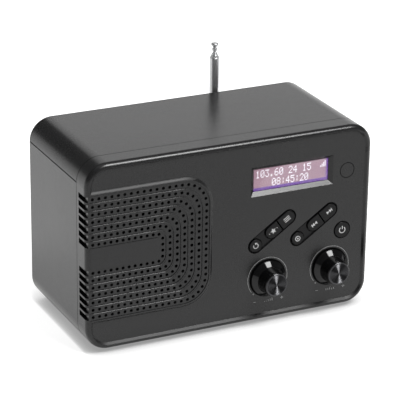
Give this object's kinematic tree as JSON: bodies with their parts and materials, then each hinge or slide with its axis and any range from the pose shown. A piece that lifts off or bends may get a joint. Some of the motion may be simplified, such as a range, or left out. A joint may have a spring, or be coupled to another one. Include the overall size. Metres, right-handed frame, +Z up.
{
  "type": "tabletop radio",
  "caption": "Compact box radio with a U-row grille, lit text display, slanted push keys, two turning knobs and a telescopic antenna behind.",
  "frame": {"origin": "on the surface under the feet, below the middle of the whole object's outline", "axes": "+Z up, the front faces -Y, +X to the right seen from the front"},
  "size_m": [0.18, 0.1068, 0.1428],
  "materials": {
    "cabinet": "fine spark-eroded texture, near black",
    "key_plastic": "satin",
    "knob_gloss": "polished",
    "spun_metal": "dark anodised, spun on a lathe, radial highlights",
    "chrome": "bright plating",
    "clear_lens": "clear acrylic",
    "lcd_glass": "lit dot-matrix display",
    "white_plastic": "light guide",
    "black_plastic": "moulded",
    "circuit_board": "solder mask",
    "steel": "zinc plated",
    "tin": "tinned sheet",
    "rubber": "soft",
    "cloth": "woven acoustic cloth",
    "foam": "open cell foam",
    "paper_cone": "pressed paper",
    "magnet": "sintered",
    "copper": "enamelled wire",
    "nickel": "nickel plated",
    "cell_can": "plain sleeve",
    "ribbon": "flat cable"
  },
  "bodies": {
    "cabinet": {"front_cabinet": "cabinet", "top_cover": "cabinet", "rear_cabinet": "cabinet", "battery_cells": "cell_can", "battery_contacts": "nickel", "rubber_feet": "rubber", "cabinet_screws": "steel", "sensor_window": "cabinet", "grille_cloth": "cloth", "speaker_gasket": "foam", "speaker_basket": "steel", "speaker_magnet": "magnet", "speaker_surround": "rubber", "speaker_spider": "cloth", "speaker_screws": "steel", "display_lens": "clear_lens", "lcd_panel": "lcd_glass", "lcd_backlight": "white_plastic", "lcd_frame": "black_plastic", "control_board": "circuit_board", "board_screws": "steel", "key_switches": "black_plastic", "volume_pot": "black_plastic", "tune_encoder": "black_plastic", "main_board": "circuit_board", "main_board_screws": "steel", "tuner_can": "tin", "headphone_socket": "black_plastic", "power_inlet": "nickel", "ribbon_cable": "ribbon"},
    "battery_door": {"battery_door": "cabinet", "battery_door_pins": "steel"},
    "cone": {"speaker_cone": "paper_cone", "speaker_dust_cap": "paper_cone", "voice_coil": "copper"},
    "volume": {"volume_knob": "knob_gloss", "volume_knob_disc": "spun_metal", "volume_shaft": "nickel"},
    "tune": {"tune_knob": "knob_gloss", "tune_knob_disc": "spun_metal", "tune_shaft": "nickel"},
    "antenna_base": {"antenna_mount": "black_plastic", "antenna_washer": "steel", "antenna_pin": "chrome"},
    "antenna_tube": {"antenna_knuckle": "chrome", "antenna_outer_tube": "chrome"},
    "antenna_2": {"antenna_section_2": "chrome"},
    "antenna_3": {"antenna_section_3": "chrome"},
    "antenna_4": {"antenna_section_4": "chrome"},
    "antenna_end": {"antenna_rod": "chrome", "antenna_tip": "chrome"},
    "mode_key": {"mode_key": "key_plastic"},
    "preset_key": {"preset_key": "key_plastic"},
    "menu_key": {"menu_key": "key_plastic"},
    "select_key": {"select_key": "key_plastic"},
    "previous_key": {"previous_key": "key_plastic"},
    "next_key": {"next_key": "key_plastic"},
    "power_key": {"power_key": "key_plastic"}
  },
  "joints": [
    {"name": "volume_turn", "type": "hinge", "parent": "cabinet", "child": "volume", "pos_m": [0.0242, -0.0427, 0.0278], "axis": [0, 1, 0], "range_deg": [-127, 127]},
    {"name": "tune_turn", "type": "hinge", "parent": "cabinet", "child": "tune", "pos_m": [0.0651, -0.0427, 0.0278], "axis": [0, 1, 0], "continuous": true},
    {"name": "mode_press", "type": "slide", "parent": "cabinet", "child": "mode_key", "axis": [0, 1, 0], "range_m": [0, 0.0006], "stiffness_N_per_m": 1200},
    {"name": "preset_press", "type": "slide", "parent": "cabinet", "child": "preset_key", "axis": [0, 1, 0], "range_m": [0, 0.0006], "stiffness_N_per_m": 1200},
    {"name": "menu_press", "type": "slide", "parent": "cabinet", "child": "menu_key", "axis": [0, 1, 0], "range_m": [0, 0.0006], "stiffness_N_per_m": 1200},
    {"name": "select_press", "type": "slide", "parent": "cabinet", "child": "select_key", "axis": [0, 1, 0], "range_m": [0, 0.0006], "stiffness_N_per_m": 1200},
    {"name": "previous_press", "type": "slide", "parent": "cabinet", "child": "previous_key", "axis": [0, 1, 0], "range_m": [0, 0.0006], "stiffness_N_per_m": 1200},
    {"name": "next_press", "type": "slide", "parent": "cabinet", "child": "next_key", "axis": [0, 1, 0], "range_m": [0, 0.0006], "stiffness_N_per_m": 1200},
    {"name": "power_press", "type": "slide", "parent": "cabinet", "child": "power_key", "axis": [0, 1, 0], "range_m": [0, 0.0006], "stiffness_N_per_m": 1200},
    {"name": "cone_stroke", "type": "slide", "parent": "cabinet", "child": "cone", "axis": [0, 1, 0], "range_m": [-0.001, 0.001], "stiffness_N_per_m": 900},
    {"name": "battery_door_swing", "type": "hinge", "parent": "cabinet", "child": "battery_door", "pos_m": [-0.04125, 0.0421, 0.0238], "axis": [-1, 0, 0], "range_deg": [0, 90]},
    {"name": "antenna_swivel", "type": "hinge", "parent": "cabinet", "child": "antenna_base", "pos_m": [0.0325, 0.0498, 0.0395], "axis": [0, 1, 0], "range_deg": [-90, 90]},
    {"name": "antenna_tilt", "type": "hinge", "parent": "antenna_base", "child": "antenna_tube", "pos_m": [0.0325, 0.0498, 0.0395], "axis": [-1, 0, 0], "range_deg": [0, 90]},
    {"name": "antenna_slide_2", "type": "slide", "parent": "antenna_tube", "child": "antenna_2", "axis": [0, 0, 1], "range_m": [0, 0.07]},
    {"name": "antenna_slide_3", "type": "slide", "parent": "antenna_2", "child": "antenna_3", "axis": [0, 0, 1], "range_m": [0, 0.07]},
    {"name": "antenna_slide_4", "type": "slide", "parent": "antenna_3", "child": "antenna_4", "axis": [0, 0, 1], "range_m": [0, 0.07]},
    {"name": "antenna_slide_5", "type": "slide", "parent": "antenna_4", "child": "antenna_end", "axis": [0, 0, 1], "range_m": [0, 0.07]}
  ]
}
